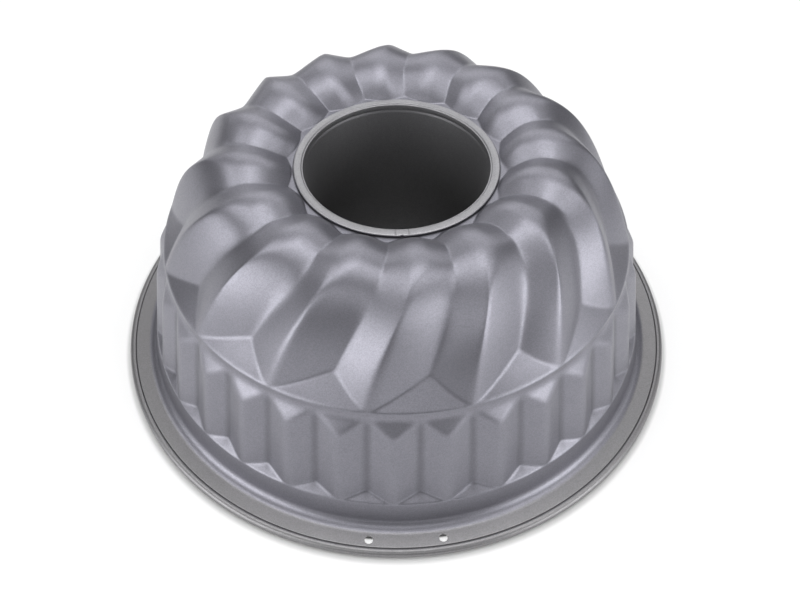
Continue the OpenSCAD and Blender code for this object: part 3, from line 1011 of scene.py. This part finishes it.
# Soft boxes: azimuth from +X and elevation in degrees, width and height in metres, and watts
LAMPS = {
    "lamp_top": (65, 78, 0.6, 0.6, 4.1),
    "lamp_top_left": (210, 76, 0.6, 0.5, 2.1),
    "lamp_left_high": (165, 56, 0.75, 0.5, 2.9),
    "lamp_left_front": (210, 20, 1.24, 0.4, 4.7),
    "lamp_left_low": (210, 5, 0.8, 0.34, 3.2),
    "lamp_front_high": (260, 38, 1.24, 0.4, 2.3),
    "lamp_right_front": (325, 12, 0.8, 0.6, 5.3),
    "lamp_right": (350, 20, 1.24, 0.4, 2.2),
    "lamp_right_high": (345, 57, 0.75, 0.5, 3.1),
    "lamp_back": (80, 38, 1.24, 0.5, 3.4),
    "lamp_back_low": (110, 20, 1.24, 0.4, 1.7),
}
LAMP_DISTANCE = 1.2
LAMP_AIM = Vector((0, 0, 0.06))


def floor_material(base, rim_radius):
    """White floor that keeps the object's shadow and can be looked through from below.

    Its small glow sets in a little outside the rim, so the floor next to the rim stays darker as a
    painted contact shadow, and a ring of painted light glows under the hanging holes.
    """
    material = bpy.data.materials.new("floor_white")
    material.use_nodes = True
    tree = material.node_tree
    shader = tree.nodes["Principled BSDF"]
    shader.inputs["Base Color"].default_value = (*base, 1.0)
    shader.inputs["Roughness"].default_value = FLOOR_ROUGHNESS
    shader.inputs["Specular IOR Level"].default_value = 0.0
    shader.inputs["Emission Color"].default_value = (1, 1, 1, 1)
    path = tree.nodes.new("ShaderNodeLightPath")
    seen = add_math(tree, "MAXIMUM", path.outputs["Is Camera Ray"], path.outputs["Is Glossy Ray"])
    seen = add_math(tree, "MAXIMUM", seen, path.outputs["Is Transmission Ray"])
    radius, _ = add_radius(tree, tree.nodes.new("ShaderNodeTexCoord").outputs["Object"])
    # The glow sets in only past the rim, so the floor next to it stays darker as a painted contact shadow
    glow_past_rim_shadow = add_mapped(tree, radius, *(rim_radius + edge for edge in GLOW_BAND))
    # Painted light: the floor glows under the hanging holes, where the flange shades it, so that they
    # show white
    painted_light_under_holes = add_mapped(tree, add_off(tree, radius, HOLE_RING), *HOLE_PAINTED_LIGHT_BAND, HOLE_PAINTED_LIGHT, 0.0)
    glow = add_math(tree, "MAXIMUM", add_math(tree, "MULTIPLY", glow_past_rim_shadow, FLOOR_GLOW), painted_light_under_holes)
    tree.links.new(add_math(tree, "MULTIPLY", seen, glow), shader.inputs["Emission Strength"])
    clear = tree.nodes.new("ShaderNodeBsdfTransparent")
    either = tree.nodes.new("ShaderNodeMixShader")
    side = tree.nodes.new("ShaderNodeNewGeometry")
    tree.links.new(side.outputs["Backfacing"], either.inputs["Fac"])
    tree.links.new(shader.outputs["BSDF"], either.inputs[1])
    tree.links.new(clear.outputs["BSDF"], either.inputs[2])
    tree.links.new(either.outputs["Shader"], tree.nodes["Material Output"].inputs["Surface"])
    return material


def soft_lamp(name, azimuth, elevation, width, height, power):
    """Rectangular soft box that faces the mould."""
    light = bpy.data.lights.new(name, "AREA")
    light.shape = "RECTANGLE"
    light.size, light.size_y = width, height
    light.energy = power
    lamp = bpy.data.objects.new(name, light)
    turn, lift = math.radians(azimuth), math.radians(elevation)
    away = Vector((math.cos(lift) * math.cos(turn), math.cos(lift) * math.sin(turn), math.sin(lift)))
    lamp.location = LAMP_AIM + away * LAMP_DISTANCE
    lamp.rotation_euler = (-away).to_track_quat("-Z", "Y").to_euler()
    bpy.context.scene.collection.objects.link(lamp)


class MOULD_OT_stage(bpy.types.Operator):
    """Make the white floor, the soft lamps, the world and the camera"""

    bl_idname = "mould.stage"
    bl_label = "Stage"

    def execute(self, context):
        scene = context.scene
        self.add_floor(scene)
        self.add_world(scene)
        for name, setting in LAMPS.items():
            soft_lamp(name, *setting)
        self.add_camera(scene)
        scene.view_settings.view_transform = "Standard"
        return {"FINISHED"}

    def add_floor(self, scene):
        bpy.ops.mesh.primitive_circle_add(
            vertices=FLOOR_SIDES, radius=FLOOR_RADIUS, fill_type="NGON", location=(0, 0, 0),
        )
        floor = bpy.context.active_object
        floor.name = "floor"
        white = floor_material(scene.mould_stage.floor_colour, scene.mould_shell.rim_radius)
        floor.data.materials.append(white)

    def add_world(self, scene):
        world = bpy.data.worlds.new("studio")
        world.use_nodes = True
        background = world.node_tree.nodes["Background"]
        background.inputs["Color"].default_value = (1, 1, 1, 1)
        background.inputs["Strength"].default_value = WORLD_STRENGTH
        scene.world = world

    def add_camera(self, scene):
        stage = scene.mould_stage
        data = bpy.data.cameras.new("camera")
        data.sensor_width = 36.0
        data.lens = stage.camera_lens
        data.shift_x, data.shift_y = stage.camera_shift
        data.clip_start = 0.01
        camera = bpy.data.objects.new("camera", data)
        camera.location = stage.camera_place
        camera.rotation_euler = (math.pi / 2 - stage.camera_tilt, 0.0, stage.camera_turn)
        scene.collection.objects.link(camera)
        scene.camera = camera


class VIEW3D_PT_mould(bpy.types.Panel):
    """Lists the mould's operators, sizes and colours"""

    bl_label = "Kugelhopf mould"
    bl_idname = "VIEW3D_PT_mould"
    bl_space_type = "VIEW_3D"
    bl_region_type = "UI"
    bl_category = "Mould"

    def draw(self, context):
        layout = self.layout
        for operator in OPERATORS:
            layout.operator(operator.bl_idname)
        for name in GROUPS:
            group = getattr(context.scene, name)
            box = layout.box()
            box.label(text=group.bl_rna.description)
            for prop in group.__annotations__:
                box.prop(group, prop)


OPERATORS = (MOULD_OT_fluted_shell, MOULD_OT_centre_tube, MOULD_OT_stage)
GROUPS = {
    "mould_shell": MouldShellSizes,
    "mould_tube": MouldTubeSizes,
    "mould_coating": MouldCoating,
    "mould_stage": MouldStage,
}
CLASSES = (*GROUPS.values(), *OPERATORS, VIEW3D_PT_mould)


def register():
    for item in CLASSES:
        bpy.utils.register_class(item)
    for name, group in GROUPS.items():
        setattr(bpy.types.Scene, name, PointerProperty(type=group))


def unregister():
    for name in GROUPS:
        delattr(bpy.types.Scene, name)
    for item in reversed(CLASSES):
        bpy.utils.unregister_class(item)


def main():
    register()
    bpy.ops.mould.fluted_shell()
    bpy.ops.mould.centre_tube()
    bpy.ops.mould.stage()
    bpy.context.view_layer.update()


if __name__ == "__main__":
    main()
